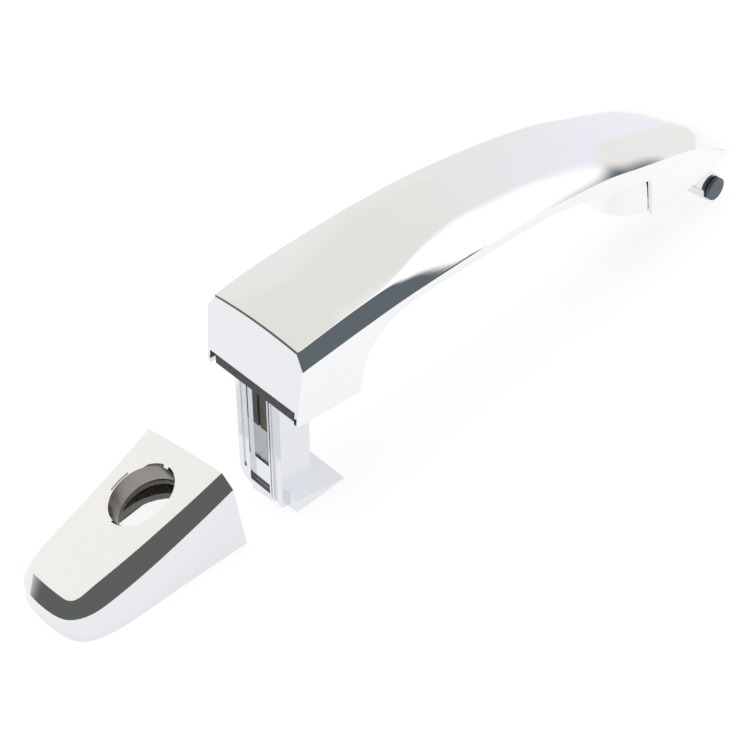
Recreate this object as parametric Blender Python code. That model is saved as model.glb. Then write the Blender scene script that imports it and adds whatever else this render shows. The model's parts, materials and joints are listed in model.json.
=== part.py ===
"""A chromed pull handle for a car door, lying on a table beside its loose lock cover.

Sizes are in millimetres. The grip is drawn in its own frame: x runs from its rear end to its front tip,
y across it, and z out of the door, with z = 0 on the door skin. The cover is drawn in a frame of the same
kind, with x = 0 at the end that meets the grip. Two empties then place them: grip_axis on the hinge line
at the front hook, tilted and leaning as the grip stands on its arm, and cover_place where the cover lies.
"""

import math

import bmesh
import bpy
from mathutils import Euler, Vector

MM = 0.001
GAP = 0.3  # between pieces that touch

# Grip
LENGTH = 199.0
END_LEAN = 2.4  # how far the rear end face leans forward at its top
END_HEIGHT = 23.0
WALL = 2.0
FLANK_TUCK = 0.6  # how far the flanks draw in at their lower edge
# pairs of x and size, from the rear end to the front tip
HALF_WIDTH = [(0, 19.2), (33, 18.7), (70, 18.0), (100, 17.2), (125, 16.4), (144, 15.7), (152, 15.0),
              (163, 13.8), (170, 12.9), (176, 11.9), (183, 10.8), (189, 9.6), (193, 8.0), (196, 6.0),
              (198, 3.8), (LENGTH, 2.0)]
# of the fold between flank and top
CREASE = [(0, 17.0), (17, 19.5), (34, 22.0), (52, 24.1), (71, 25.7), (91, 26.2), (113, 25.6), (132, 22.9),
          (147, 20.5), (158, 18.2), (170, 14.3), (178, 10.8), (184, 7.4), (189, 4.7), (194, 2.8),
          (LENGTH, 2.2)]
# The top is a bevel that rises from each fold, with a gently crowned panel between them: the bevel's width
# and rise, how far the corner above it is rounded off, the panel's crown, and how much higher the +y fold is.
BEVEL_WIDTH = [(0, 2.8), (35, 2.9), (47, 4.2), (60, 5.4), (90, 6.0), (124, 6.0), (147, 5.6), (166, 5.0),
               (178, 4.2), (189, 3.2), (LENGTH, 0.7)]
BEVEL_RISE = [(0, 3.8), (25, 3.8), (35, 4.0), (47, 4.4), (60, 4.5), (90, 4.7), (124, 4.2), (147, 3.6),
              (166, 3.4), (178, 3.1), (184, 2.6), (189, 1.9), (194, 1.0), (LENGTH, 0.3)]
BEVEL_SOFTNESS = [(0, 0.06), (28, 0.08), (36, 0.35), (46, 0.8), (56, 1.0), (LENGTH, 1.0)]
CROWN = [(0, 1.0), (13, 1.9), (25, 2.4), (60, 2.4), (90, 2.2), (124, 2.0), (147, 1.8), (166, 1.6), (178, 1.2),
         (189, 0.6), (LENGTH, 0.1)]
CANT = [(0, 0.0), (15, 1.4), (40, 2.0), (90, 2.0), (124, 1.4), (150, 0.6), (175, 0.0), (LENGTH, 0.0)]
FOOT_END = 21.2
PILLAR_TOP, PILLAR_FOOT = 140.0, 143.5
FRONT_FOOT_Z = 1.7
# of the underside
ARCH = [(FOOT_END, 0), (22.2, 5.6), (23.9, 10.5), (27.2, 14.8), (31, 17.2), (35, 18.7), (42, 20.1),
        (52, 20.9), (64, 21.5), (75, 22.2), (92, 22.9), (105, 21.3), (114, 19.5), (124, 17.6), (133, 16.1),
        (PILLAR_TOP, 15.3), (PILLAR_FOOT, FRONT_FOOT_Z), (LENGTH, FRONT_FOOT_Z)]
STATIONS = [0, 2, 9, FOOT_END, 22.2, 23.9, 27.2, 31, 35, 42, 52, 64, 75, 84, 92, 98, 105, 114, 124, 133,
            PILLAR_TOP, PILLAR_FOOT, 150, 158, 165, 171, 177, 182, 186, 190, 193, 196, 198, LENGTH]
TOP_STEPS = 12
HOLLOW_END = 186.0  # how far forward the shell is hollow
END_OPENING = 17.2  # half the width of the slot in the end wall, above the rear pad
SHELL_SCREW_X = (62.0, 97.0)
SHELL_SCREW_HEAD = (24.2, 25.4)  # the height of each head's underside
BOSS_RADIUS = 3.2

# Liner and core
LINER_THICKNESS = 1.8
# towards the fingers
LINER_BELLY = [(FOOT_END, 0.0), (24, 1.0), (124, 1.0), (PILLAR_TOP, 2.2), (PILLAR_FOOT, 7.0)]
CORE_CLEARANCE = 3.2  # below the shell's inner face
CORE_SHARE = [(0, 0.88), (22, 0.88), (40, 0.72), (LENGTH, 0.72)]  # of the room between the shell's walls
CORE_FLOOR = [(4.2, 7.3), (17.5, 7.3), (20.5, 16.2), (25, 18.6), (31, 21.0), (40, 22.8), (55, 24.2),
              (75, 25.5), (90, 26.2), (103, 25.6), (110, 23.8), (125, 20.8), (137, 18.6), (144.0, 18.2),
              (146.6, 5.4), (165, 5.4), (176, 5.4)]

# Hinge
HOOK_RADIUS = 4.6
HINGE_X, HINGE_Z = 186.0, -8.3  # in the grip's frame
BUSH_RADIUS = 2.9
HOOK_HALF_WIDTH = 8.0
HOOK_NECK = [(171, 3), (183, 3), (184.2, -2), (186.5, -5.5), (183.0, -9.5), (178, -5), (174, 0)]
HOOK_FLANGE = ((147, 183), (-7.5, 7.5), (2.6, 5.0))
HOOK_MOUTH = [(1.0, 1.2), (9, 7.5), (9, -1.5), (2.2, -1.5)]  # from the hinge line
FRONT_SCREW_X = (153.0, 165.0)
FRONT_PAD_X = (146.5, 152, 160, 168, 175)
FRONT_PAD_NOSE = (140.6, 6.0)
FRONT_PAD_Z = (0.5, 2.3)
TILT = math.radians(7.0)
LEAN = math.radians(7.3)  # the grip leans over to -y as it stands

# Rear arm
ARM_FRONT, ARM_BACK = 2.2, 12.0
ARM_SIDES = (-8.7, 9.7)
ARM_BOTTOM = -35.9
TOE_TIP = 20.2
TOE_SIDES = (-13.1, 4.5)
TOE_THICKNESS = (5.2, 1.3)  # at its root and at its tip
ARM_CORNER = 3.0
ARM_SCREW_X, ARM_SCREW_Y = 8.6, 13.1
WINDOW_HALF_WIDTH = 3.2
WINDOW_Y = 0.8
WINDOW_LOW = -26.0
DAMPER_LOW = -17.0
FLANGE_Z, FLANGE_TOP = 4.4, 7.0
FLANGE_HALF = 16.4
PAD_X = (1.0, 18.4)
PAD_HALF = 15.9
PAD_HEIGHT = 3.7

# Screws
SCREW_RADIUS, HEAD_RADIUS, HEAD_HEIGHT = 1.6, 2.8, 1.5

# Lock cover
COVER_LENGTH = 51.2
COVER_LEAN = 0.9
COVER_HALF = [(-COVER_LENGTH, 5.0), (-50.6, 8.4), (-49.5, 11.4), (-48.2, 13.6), (-46.6, 15.5), (-44.5, 16.9),
              (-41, 17.8), (-20, 19.0), (0, 20.6)]
COVER_CREASE = [(-COVER_LENGTH, 5.6), (-46, 7.0), (-26, 11.2), (-10, 15.4), (0, 18.6)]
COVER_CANT = 3.0  # how much lower the +y fold is
COVER_CROWN = [(-COVER_LENGTH, 0.6), (-49, 2.4), (-46, 3.6), (-40, 4.4), (-20, 4.6), (0, 4.4)]
COVER_STATIONS = [-COVER_LENGTH, -50.6, -49.5, -48.2, -46.6, -44.5, -41, -30, -20, -10, 0]
COVER_POWER = 3.2
HOLE_X = -15.2
HOLE_RADIUS = 9.6
COLLAR_WALL, COLLAR_DEPTH = 1.5, 6.4
COVER_SLOPE = math.radians(12.5)  # of its top face, down towards the nose
COVER_SCREW_X = (-32.0, -41.5)
COVER_BOSS_LOW = 4.6
FRAME_Z, GASKET_Z = (2.2, 4.2), (0.5, 1.9)
COVER_AT = (-23.9, 12.3)  # the middle of its inner end on the table

# The handle stands on its toe, whose sole lies on the origin, and on one side of its hook.
HINGE_AT = (176.6, -0.6, HOOK_RADIUS * math.cos(LEAN) + HOOK_HALF_WIDTH * math.sin(LEAN))

CHROME = ("chrome", (0.86, 0.87, 0.89), 0.06, 1.0)
DARK_RUBBER = ("rubber", (0.045, 0.047, 0.05), 0.75, 0.0)
NYLON = ("nylon", (0.09, 0.1, 0.11), 0.5, 0.0)
OLIVE_RUBBER = ("olive_rubber", (0.13, 0.13, 0.09), 0.65, 0.0)
STEEL = ("steel", (0.56, 0.56, 0.57), 0.3, 1.0)


def clear_scene():
    for obj in list(bpy.data.objects):
        bpy.data.objects.remove(obj)


def material_of(look):
    name, colour, roughness, metallic = look
    material = bpy.data.materials.get(name)
    if material is None:
        material = bpy.data.materials.new(name)
        material.use_nodes = True
        shader = material.node_tree.nodes["Principled BSDF"]
        shader.inputs["Base Color"].default_value = (*colour, 1)
        shader.inputs["Roughness"].default_value = roughness
        shader.inputs["Metallic"].default_value = metallic
        material.diffuse_color = (*colour, 1)
    return material


def smooth(points, x):
    """The height at x of a soft curve through the points, which overshoots none of them."""
    if x <= points[0][0]:
        return points[0][1]
    if x >= points[-1][0]:
        return points[-1][1]
    rises = [(b[1] - a[1]) / (b[0] - a[0]) for a, b in zip(points, points[1:])]

    def slope(k):
        if k == 0 or k == len(points) - 1:
            return rises[min(k, len(rises) - 1)]
        before, after = rises[k - 1], rises[k]
        return 2 * before * after / (before + after) if before * after > 0 else 0.0

    i = max(k for k in range(len(points) - 1) if points[k][0] <= x)
    (x0, y0), (x1, y1) = points[i], points[i + 1]
    width = x1 - x0
    t = (x - x0) / width
    near, far = t * t * (3 - 2 * t), t * (1 - t)
    return y0 + (y1 - y0) * near + width * far * ((1 - t) * slope(i) - t * slope(i + 1))


def straight(points, x):
    """The height at x of the straight runs between the points."""
    for (x0, y0), (x1, y1) in zip(points, points[1:]):
        if x <= x1:
            return y0 + (y1 - y0) * max(0.0, x - x0) / (x1 - x0)
    return points[-1][1]


def add_object(name, bm, look, parent):
    """A named object from a bmesh in millimetres in its parent's frame, with its faces turned outwards."""
    bmesh.ops.recalc_face_normals(bm, faces=bm.faces)
    bmesh.ops.scale(bm, vec=(MM, MM, MM), verts=bm.verts)
    mesh = bpy.data.meshes.new(name)
    bm.to_mesh(mesh)
    bm.free()
    mesh.materials.append(material_of(look))
    mesh.shade_smooth()
    mesh.set_sharp_from_angle(angle=math.radians(35))
    obj = bpy.data.objects.new(name, mesh)
    bpy.context.scene.collection.objects.link(obj)
    obj.parent = parent
    return obj


def loft(rings):
    """A closed bmesh through rings of equal length, each a list of points."""
    bm = bmesh.new()
    loops = [[bm.verts.new(p) for p in ring] for ring in rings]
    for a, b in zip(loops, loops[1:]):
        for i in range(len(a)):
            j = (i + 1) % len(a)
            bm.faces.new((a[i], a[j], b[j], b[i]))
    bm.faces.new(loops[0])
    bm.faces.new(loops[-1])
    bmesh.ops.triangulate(bm, faces=bm.faces)
    return bm


def prism(outline, axis, low, high):
    """An outline extruded along an axis: its points hold the two other coordinates, in x, y, z order."""
    def place(a, b, along):
        return {"X": (along, a, b), "Y": (a, along, b), "Z": (a, b, along)}[axis]

    return loft([[place(a, b, along) for a, b in outline] for along in (low, high)])


def box(x, y, z):
    """A box from three (low, high) pairs."""
    return prism([(x[0], y[0]), (x[1], y[0]), (x[1], y[1]), (x[0], y[1])], "Z", *z)


def rod(centre, axis, radius, length, sides=20):
    """A cylinder that starts at a point and runs along an axis; a length below zero runs backwards."""
    turns = [2 * math.pi * k / sides for k in range(sides)]
    spin = Vector((0, 0, 1)).rotation_difference(Vector(axis)).to_matrix()
    rings = [[Vector(centre) + spin @ Vector((radius * math.cos(a), radius * math.sin(a), h)) for a in turns]
             for h in (0, length)]
    return loft(rings)


def helper(bm, parent):
    """A shape used only by a Boolean."""
    obj = add_object("cutter", bm, NYLON, parent)
    obj.hide_render = True
    obj.display_type = "WIRE"
    return obj


def boolean(obj, operation, other):
    modifier = obj.modifiers.new(operation.lower(), "BOOLEAN")
    modifier.operation = operation
    modifier.solver = "EXACT"
    modifier.object = other


def cut(obj, bm):
    boolean(obj, "DIFFERENCE", helper(bm, obj.parent))


def add(obj, bm):
    boolean(obj, "UNION", helper(bm, obj.parent))


def cut_below_table(obj):
    """Levels an object's sole: takes off what would reach below the table."""
    boolean(obj, "DIFFERENCE", helper(box((-40, 40), (-40, 40), (-20, 0)), None))


def soften(obj, width, segments=1):
    modifier = obj.modifiers.new("soften", "BEVEL")
    modifier.width = width * MM
    modifier.segments = segments
    modifier.limit_method = "ANGLE"
    modifier.angle_limit = math.radians(40)


def screw(name, head_at, axis, shank, parent):
    """A pan-head screw with a cross recess: its head's underside is at head_at, its shank runs along axis."""
    at, along = Vector(head_at), Vector(axis).normalized()
    obj = add_object(name, rod(at - along * HEAD_HEIGHT, along, HEAD_RADIUS, HEAD_HEIGHT, 16), STEEL, parent)
    soften(obj, 0.5)
    add(obj, rod(at - along * 0.5, along, SCREW_RADIUS, shank + 0.5, 12))
    for across in (0, 1):
        arms = (1.7, 0.35) if across else (0.35, 1.7)
        slot = box((-arms[0], arms[0]), (-arms[1], arms[1]), (-HEAD_HEIGHT - 1, -HEAD_HEIGHT + 0.8))
        spin = Vector((0, 0, 1)).rotation_difference(along).to_matrix()
        for vertex in slot.verts:
            vertex.co = at + spin @ vertex.co
        cut(obj, slot)
    return obj


def top_arc(half, right, left, height, power, steps):
    """The (y, z) points of a crowned top between two folds, from -y to +y."""
    points = []
    for k in range(steps + 1):
        a = math.pi * k / steps
        across = -math.copysign(abs(math.cos(a)) ** (2 / power), math.cos(a))
        lift = height * math.sin(a) ** (2 / power) if 0 < k < steps else 0.0
        points.append((half * across, right + (left - right) * (across + 1) / 2 + lift))
    return points


def eased(run, softness):
    """A climb from 0 to 1 that stops at a run of 1, with its corner rounded off."""
    if run <= 1 - softness:
        return run
    if run >= 1 + softness:
        return 1.0
    return run - (run - 1 + softness) ** 2 / (4 * softness)


def top_height(x, y):
    """The height of the grip's top at (x, y)."""
    half = smooth(HALF_WIDTH, x)
    run = (half - abs(y)) / smooth(BEVEL_WIDTH, x)
    bevel = smooth(BEVEL_RISE, x) * eased(run, smooth(BEVEL_SOFTNESS, x))
    across = y / half
    return smooth(CREASE, x) + smooth(CANT, x) * (1 + across) / 2 + bevel + smooth(CROWN, x) * (1 - across ** 2)


def grip_ring(x, inset=0.0, floor=None):
    """The grip's section at x. The inset shrinks its sides and top, and a floor replaces its underside."""
    half = smooth(HALF_WIDTH, x) - inset
    bevel = smooth(BEVEL_WIDTH, x) / half
    right = [-1.0, bevel / 2 - 1, bevel - 1, min(1.5 * bevel - 1, -0.55), -0.5, -0.25]
    low = straight(ARCH, x) if floor is None else floor
    shares = right + [0.0] + [-share for share in reversed(right)]
    lean = END_LEAN * max(0.0, 1 - x / 20) / END_HEIGHT
    ring = [(half - FLANK_TUCK, low), (FLANK_TUCK - half, low)]
    ring += [(half * share, top_height(x, half * share) - 1.15 * inset) for share in shares]
    return [(x + lean * max(z, 0) - HINGE_X, y, z - HINGE_Z) for y, z in ring]


def top_inside(x):
    """The height of the shell's inner face above the grip's middle."""
    return top_height(x, 0) - 1.15 * WALL


def at_hinge(x, z):
    """A point of the grip's side view, measured from the hinge."""
    return x - HINGE_X, z - HINGE_Z


def grip_box(x, y, z):
    (x0, z0), (x1, z1) = at_hinge(x[0], z[0]), at_hinge(x[1], z[1])
    return box((x0, x1), y, (z0, z1))


def grip_rod(x, y, z, radius, length, sides=20):
    """An upright rod in the grip's frame."""
    x, z = at_hinge(x, z)
    return rod((x, y, z), (0, 0, 1), radius, length, sides)


def outer_shell(parent):
    """The chromed top and flanks, hollow from below."""
    shell = add_object("outer_shell", loft([grip_ring(x) for x in STATIONS]), CHROME, parent)
    inside = [x for x in STATIONS if WALL <= x <= HOLLOW_END]
    cut(shell, loft([grip_ring(x, WALL, -10) for x in inside]))
    cut(shell, grip_box((-1, WALL + 1), (-END_OPENING, END_OPENING), (-1, PAD_HEIGHT + GAP)))
    for x in SHELL_SCREW_X:
        top = top_inside(x)
        add(shell, grip_rod(x, 0, core_top(x) + GAP, BOSS_RADIUS, top + 0.8 - core_top(x) - GAP, 16))
        cut(shell, grip_rod(x, 0, core_top(x) - 1, SCREW_RADIUS + GAP, top - 0.4 - core_top(x) + 1, 12))
    return shell


def arch_path():
    """Points along the underside from the rear foot's inner face to the front foot's, in the side view."""
    rise = [(x, straight(ARCH, x)) for x in STATIONS if FOOT_END < x < PILLAR_TOP]
    return [(FOOT_END - 0.1, 0.2)] + rise + [(PILLAR_TOP, 15.0), (PILLAR_FOOT, FRONT_FOOT_Z + 0.2)]


def finger_side_shell(parent):
    """The liner that closes the underside: a strip along the arch, crowned towards the fingers."""
    path = arch_path()
    rings = []
    for i, (x, z) in enumerate(path):
        before, after = path[max(i - 1, 0)], path[min(i + 1, len(path) - 1)]
        along = Vector((after[0] - before[0], after[1] - before[1])).normalized()
        inward = Vector((-along.y, along.x))  # up into the grip
        half = smooth(HALF_WIDTH, x) - WALL - GAP - FLANK_TUCK
        belly = straight(LINER_BELLY, x)
        ring = []
        for across, lift in ((-1, 0), (-0.5, -belly), (0, -belly * 1.3), (0.5, -belly), (1, 0),
                             (1, LINER_THICKNESS), (0.5, LINER_THICKNESS - belly),
                             (-0.5, LINER_THICKNESS - belly), (-1, LINER_THICKNESS)):
            px, pz = at_hinge(x + inward.x * lift, z + inward.y * lift)
            ring.append((px, across * half, pz))
        rings.append(ring)
    return add_object("finger_side_shell", loft(rings), CHROME, parent)


def core_top(x):
    return top_inside(x) - CORE_CLEARANCE


def grip_core(parent):
    """The moulded carrier that fills the shell from foot to foot and takes the screws."""
    rings = []
    for x, low in CORE_FLOOR:
        half = (smooth(HALF_WIDTH, x) - WALL) * straight(CORE_SHARE, x)
        top = max(core_top(x) - 0.8, low + 2.0)
        px, low_z = at_hinge(x, low)
        top_z = top - HINGE_Z
        rings.append([(px, -half, low_z), (px, half, low_z), (px, half, top_z), (px, -half, top_z)])
    core = add_object("grip_core", loft(rings), NYLON, parent)
    for x in SHELL_SCREW_X:
        cut(core, grip_rod(x, 0, 10, SCREW_RADIUS + GAP, 30, 12))
    for x in FRONT_SCREW_X:
        cut(core, grip_rod(x, 0, 2, SCREW_RADIUS + GAP, 9, 12))
    for y in (-ARM_SCREW_Y, ARM_SCREW_Y):
        cut(core, grip_rod(ARM_SCREW_X, y, 4, SCREW_RADIUS + GAP, 9, 12))
    return core


def rear_arm(parent):
    """The arm that hangs from the rear foot into the door: a windowed post, a toe and a bolting flange."""
    post_top = PAD_HEIGHT - 0.3
    low_side, high_side = ARM_SIDES
    post = [(low_side, post_top), (low_side, ARM_BOTTOM - 4),
            (high_side - 2 * ARM_CORNER, ARM_BOTTOM - 4), (high_side, ARM_BOTTOM + ARM_CORNER),
            (high_side, post_top)]
    x0, x1 = ARM_FRONT - HINGE_X, ARM_BACK - HINGE_X
    arm = add_object("rear_arm", prism([(y, z - HINGE_Z) for y, z in post], "X", x0, x1), CHROME, parent)
    rise = math.tan(TILT)
    sole = [(x, ARM_BOTTOM + (x - ARM_FRONT) * rise) for x in (ARM_FRONT + 1.4, TOE_TIP)]
    toe = [(sole[0][0], sole[0][1] - 4), (sole[1][0], sole[1][1] - 4),
           (sole[1][0], sole[1][1] + TOE_THICKNESS[1]), (sole[0][0], sole[0][1] + TOE_THICKNESS[0])]
    add(arm, prism([at_hinge(*p) for p in toe], "Y", *TOE_SIDES))
    root = ARM_BOTTOM + 3.2
    fillet = [(ARM_BACK - 2, root - 2.5), (ARM_BACK + 3, root - 2.0), (ARM_BACK - 2, root + 4)]
    add(arm, prism([at_hinge(*p) for p in fillet], "Y", low_side + 0.6, TOE_SIDES[1] - 0.6))
    add(arm, grip_box((ARM_FRONT + 2.0, ARM_BACK - 0.7), (low_side + 0.8, high_side - 0.8),
                      (post_top - 2, FLANGE_Z + 1)))
    add(arm, grip_box((ARM_FRONT + 1.6, ARM_BACK + 3.0), (-FLANGE_HALF, FLANGE_HALF), (FLANGE_Z, FLANGE_TOP)))
    window = (WINDOW_Y - WINDOW_HALF_WIDTH, WINDOW_Y + WINDOW_HALF_WIDTH)
    cut(arm, grip_box((0, 14), window, (WINDOW_LOW, 2)))
    for y in (low_side + 2.3, high_side - 2.3):
        cut(arm, grip_box((ARM_FRONT - 1, ARM_FRONT + 0.8), (y - 1.2, y + 1.2), (-27, 1)))
    cut_below_table(arm)
    for y in (-ARM_SCREW_Y, ARM_SCREW_Y):
        cut(arm, grip_rod(ARM_SCREW_X, y, 0, SCREW_RADIUS + GAP, 12, 12))
    return arm


def window_damper(parent):
    """A rubber block pressed into the top of the arm's window, which quietens the release lever."""
    reach = WINDOW_HALF_WIDTH - GAP
    shape = grip_box((5.2, 10.6), (WINDOW_Y - reach, WINDOW_Y + reach), (DAMPER_LOW, 1.7))
    block = add_object("window_damper", shape, OLIVE_RUBBER, parent)
    soften(block, 0.5, 2)
    return block


def rear_foot_pad(parent):
    """The soft strip under the rear foot, which shows as a dark line below the end face."""
    shape = grip_box(PAD_X, (-PAD_HALF, PAD_HALF), (0.1, PAD_HEIGHT))
    pad = add_object("rear_foot_pad", shape, DARK_RUBBER, parent)
    cut(pad, grip_box((ARM_FRONT - GAP, ARM_BACK + GAP), (ARM_SIDES[0] - GAP, ARM_SIDES[1] + GAP), (-1, 6)))
    for y in (-ARM_SCREW_Y, ARM_SCREW_Y):
        cut(pad, grip_rod(ARM_SCREW_X, y, -1, HEAD_RADIUS + GAP, 8, 16))
    return pad


def front_hook(parent):
    """The cast hook under the front foot: a flange, a neck and an eye around the bush."""
    neck = prism([at_hinge(*p) for p in HOOK_NECK], "Y", -HOOK_HALF_WIDTH, HOOK_HALF_WIDTH)
    hook = add_object("front_hook", neck, CHROME, parent)
    add(hook, grip_box(*HOOK_FLANGE))
    add(hook, rod((0, -HOOK_HALF_WIDTH, 0), (0, 1, 0), HOOK_RADIUS, 2 * HOOK_HALF_WIDTH, 28))
    cut(hook, rod((0, -12, 0), (0, 1, 0), BUSH_RADIUS + GAP, 24, 28))
    cut(hook, prism(HOOK_MOUTH, "Y", -12, 12))
    for x in FRONT_SCREW_X:
        cut(hook, grip_rod(x, 0, -2, SCREW_RADIUS + GAP, 12, 12))
    return hook


def front_foot_pad(parent):
    """The thin gasket between the front foot and the door."""
    stations = [(x, smooth(HALF_WIDTH, x) - WALL - 2 * GAP - FLANK_TUCK) for x in FRONT_PAD_X]
    side = [FRONT_PAD_NOSE] + stations
    outline = [(x - HINGE_X, -y) for x, y in side] + [(x - HINGE_X, y) for x, y in reversed(side)]
    low, high = FRONT_PAD_Z
    shape = prism(outline, "Z", low - HINGE_Z, high - HINGE_Z)
    pad = add_object("front_foot_pad", shape, DARK_RUBBER, parent)
    cut(pad, grip_box((170.6, 180), (-HOOK_HALF_WIDTH - GAP, HOOK_HALF_WIDTH + GAP), (-1, 5)))
    for x in FRONT_SCREW_X:
        cut(pad, grip_rod(x, 0, -1, HEAD_RADIUS + GAP, 8, 16))
    return pad


def grip_screws(parent):
    for number, y in enumerate((-ARM_SCREW_Y, ARM_SCREW_Y), 1):
        at = (ARM_SCREW_X - HINGE_X, y, FLANGE_Z - 0.05 - HINGE_Z)
        screw(f"rear_arm_screw_{number}", at, (0, 0, 1), 8.0, parent)
    for number, x in enumerate(FRONT_SCREW_X, 1):
        screw(f"front_hook_screw_{number}", (x - HINGE_X, 0, 2.55 - HINGE_Z), (0, 0, 1), 8.0, parent)
    for number, (x, low) in enumerate(zip(SHELL_SCREW_X, SHELL_SCREW_HEAD), 1):
        shank = top_inside(x) - 1.2 - low
        screw(f"shell_screw_{number}", (x - HINGE_X, 0, low - HINGE_Z), (0, 0, 1), shank, parent)


def pivot_bush(parent):
    """The dark bush in the hook's eye, which stays with the door when the grip swings."""
    bush = add_object("pivot_bush", rod((0, -9.0, 0), (0, 1, 0), BUSH_RADIUS, 18, 24), NYLON, parent)
    for end in (-9.6, 8.3):
        add(bush, rod((0, end, 0), (0, 1, 0), BUSH_RADIUS + 1.0, 1.3, 24))
    return bush


def cover_ring(x, inset=0.0, floor=0.0):
    half = smooth(COVER_HALF, x) - inset
    fold = smooth(COVER_CREASE, x) - inset * 0.3
    height = max(smooth(COVER_CROWN, x) - inset * 0.7, 0.3)
    lean = COVER_LEAN * max(0.0, 1 + x / 20) / END_HEIGHT
    cant = COVER_CANT * half / COVER_HALF[-1][1]
    top = top_arc(half, fold, fold - cant, height, COVER_POWER, TOP_STEPS)
    return [(x + lean * max(z, 0), y, z) for y, z in [(half, floor), (-half, floor)] + top]


def cover_inside(x):
    """The height of the cover's inner face above its middle."""
    return smooth(COVER_CREASE, x) - COVER_CANT / 2 + smooth(COVER_CROWN, x) - WALL


def hole_frame():
    """The middle of the lock hole on the cover's top face, and the hole's axis."""
    z = cover_inside(HOLE_X) + WALL
    return Vector((HOLE_X, 0, z)), Vector((-math.sin(COVER_SLOPE), 0, math.cos(COVER_SLOPE)))


def lock_cover_shell(parent):
    """The chromed lock cover: a hollow shell with a collared hole for the lock cylinder."""
    shell = add_object("lock_cover_shell", loft([cover_ring(x) for x in COVER_STATIONS]), CHROME, parent)
    inside = [-49.0] + [x for x in COVER_STATIONS if -48 < x < -WALL] + [-WALL]
    cut(shell, loft([cover_ring(x, WALL, -5) for x in inside]))
    middle, axis = hole_frame()
    add(shell, rod(middle - axis * COLLAR_DEPTH, axis, HOLE_RADIUS + COLLAR_WALL, COLLAR_DEPTH - 1.2, 36))
    cut(shell, rod(middle - axis * 20, axis, HOLE_RADIUS, 30, 36))
    for x in COVER_SCREW_X:
        top = cover_inside(x)
        add(shell, rod((x, 0, COVER_BOSS_LOW), (0, 0, 1), HEAD_RADIUS, top + 1.0 - COVER_BOSS_LOW, 16))
        cut(shell, rod((x, 0, 3), (0, 0, 1), SCREW_RADIUS + GAP, top - 1.0 - 3, 12))
    return shell


def inset_outline(inset, low, high):
    """The cover's footprint between two stations, inset."""
    stations = [x for x in (-49.0, -48.2, -46.6, -44.5, -41, -20, -WALL) if low <= x <= high]
    right = [(x + (inset - WALL if x < -49 else 0), -(smooth(COVER_HALF, x) - inset)) for x in stations]
    return right + [(x, -y) for x, y in reversed(right)]


def cover_frame(parent):
    """The plastic frame inside the cover, which carries its clips and its fixing to the lock."""
    shape = prism(inset_outline(WALL + 0.5, -48.3, -WALL), "Z", *FRAME_Z)
    frame = add_object("cover_frame", shape, NYLON, parent)
    cut(frame, rod((HOLE_X + 1.5, 0, 0), (0, 0, 1), HOLE_RADIUS + 3.4, 10, 32))
    for x in COVER_SCREW_X:
        cut(frame, rod((x, 0, 0), (0, 0, 1), SCREW_RADIUS + GAP, 10, 12))
    return frame


def cover_gasket(parent):
    """The foam ring under the cover's frame, a little above the rim."""
    shape = prism(inset_outline(WALL + 0.5, -48.3, -WALL), "Z", *GASKET_Z)
    ring = add_object("cover_gasket", shape, DARK_RUBBER, parent)
    cut(ring, prism(inset_outline(WALL + 3.5, -46.6, -WALL), "Z", -1, 3))
    return ring


def cover_clips(parent):
    """Two spring-steel clips on the frame that snap behind the door skin's bracket."""
    outside = [(-9, 9.5), (-9, 4.5), (-3.4, 4.5), (-3.4, 8.5)]
    inside = [(-8.2, 9.5), (-8.2, 5.3), (-4.2, 5.3), (-4.2, 8.5)]
    for name, side in (("cover_clip_left", 1), ("cover_clip_right", -1)):
        low, high = side * 16.2 - 1.6, side * 16.2 + 1.6
        rings = [[(ax, low, az), (bx, low, bz), (bx, high, bz), (ax, high, az)]
                 for (ax, az), (bx, bz) in zip(outside, inside)]
        add_object(name, loft(rings), STEEL, parent)


def lock_seal(parent):
    """The rubber ring at the foot of the collar, which seals on the lock cylinder."""
    middle, axis = hole_frame()
    low = middle - axis * (COLLAR_DEPTH + 1.8)
    seal = add_object("lock_seal", rod(low, axis, HOLE_RADIUS + COLLAR_WALL, 1.5, 32), DARK_RUBBER, parent)
    cut(seal, rod(low - axis, axis, HOLE_RADIUS + 0.1, 4, 32))
    return seal


def place(name, at, lean=0.0, tilt=0.0):
    """An empty in the world, tilted about y once it has been leant about x."""
    empty = bpy.data.objects.new(name, None)
    bpy.context.scene.collection.objects.link(empty)
    empty.location = Vector(at) * MM
    empty.rotation_euler = Euler((lean, tilt, 0))
    return empty


def main():
    clear_scene()
    grip = place("grip_axis", HINGE_AT, LEAN, TILT)
    for build in (outer_shell, finger_side_shell, grip_core, rear_arm, window_damper, rear_foot_pad,
                  front_hook, front_foot_pad, grip_screws):
        build(grip)
    pivot_bush(place("hinge_line", HINGE_AT, LEAN, TILT))
    cover = place("cover_place", (*COVER_AT, 0))
    for build in (lock_cover_shell, cover_frame, cover_gasket, cover_clips, lock_seal):
        build(cover)
    for number, x in enumerate(COVER_SCREW_X, 1):
        head = FRAME_Z[0] - 0.05
        screw(f"cover_screw_{number}", (x, 0, head), (0, 0, 1), cover_inside(x) - 1.5 - head, cover)


main()
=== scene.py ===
"""The looks of a chromed car door handle and its loose lock cover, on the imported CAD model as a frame."""

import json
import math

import bmesh
import bpy
from mathutils import Euler, Matrix, Vector


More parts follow.
